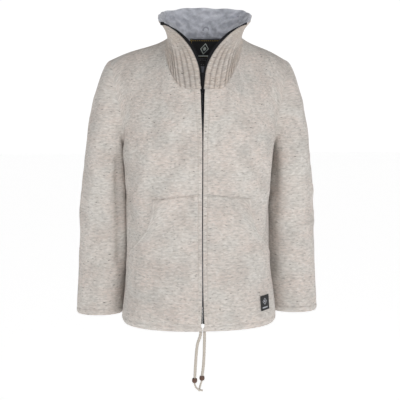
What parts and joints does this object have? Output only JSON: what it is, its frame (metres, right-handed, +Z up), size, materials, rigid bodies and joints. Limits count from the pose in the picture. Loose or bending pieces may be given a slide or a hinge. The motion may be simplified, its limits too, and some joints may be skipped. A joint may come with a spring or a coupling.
{
  "type": "cardigan",
  "caption": "Knitted jacket-style cardigan with a ribbed stand collar, a zip, slanted pockets and a hem drawstring, held as if worn",
  "frame": {"origin": "middle of the neck opening, level with the high points of the shoulders", "axes": "+Z up, +Y from the garment's front to its back, +X to the wearer's left side, which is on the right in the picture"},
  "size_m": [0.632, 0.2859, 0.95],
  "materials": {
    "knit": "matt melange wool-blend knit, oatmeal with grey and brown flecks",
    "rib": "matt rib knit",
    "fleece": "matt brushed fleece, grey",
    "tape": "woven tape, black",
    "cord": "round braided cord, oatmeal",
    "label": "woven satin tape, black, bare",
    "care": "woven tape, dark grey, bare",
    "tag": "woven tape, pale grey, bare",
    "metal": "semi-matt black",
    "wood": "waxed, dark brown"
  },
  "bodies": {
    "garment": {"back": "knit", "front_left": "knit", "front_right": "knit", "sleeve_left": "knit", "sleeve_right": "knit", "collar": "rib", "collar_lining": "fleece", "pocket_left": "knit", "pocket_right": "knit", "zip_tape_left": "tape", "zip_tape_right": "tape", "zip_slider": "metal", "cord_left": "cord", "cord_right": "cord", "tail_left": "cord", "tail_right": "cord", "bead_left": "wood", "bead_right": "wood", "neck_label": "label", "care_label": "care", "size_tag": "tag", "hem_label": "label", "hanger_loop": "fleece"},
    "pull": {"zip_pull": "metal"}
  },
  "joints": [
    {"name": "pull_swing", "type": "hinge", "parent": "garment", "child": "pull", "pos_m": [0, -0.1345, -0.0985], "axis": [-1, 0, 0], "range_deg": [0, 170]}
  ]
}
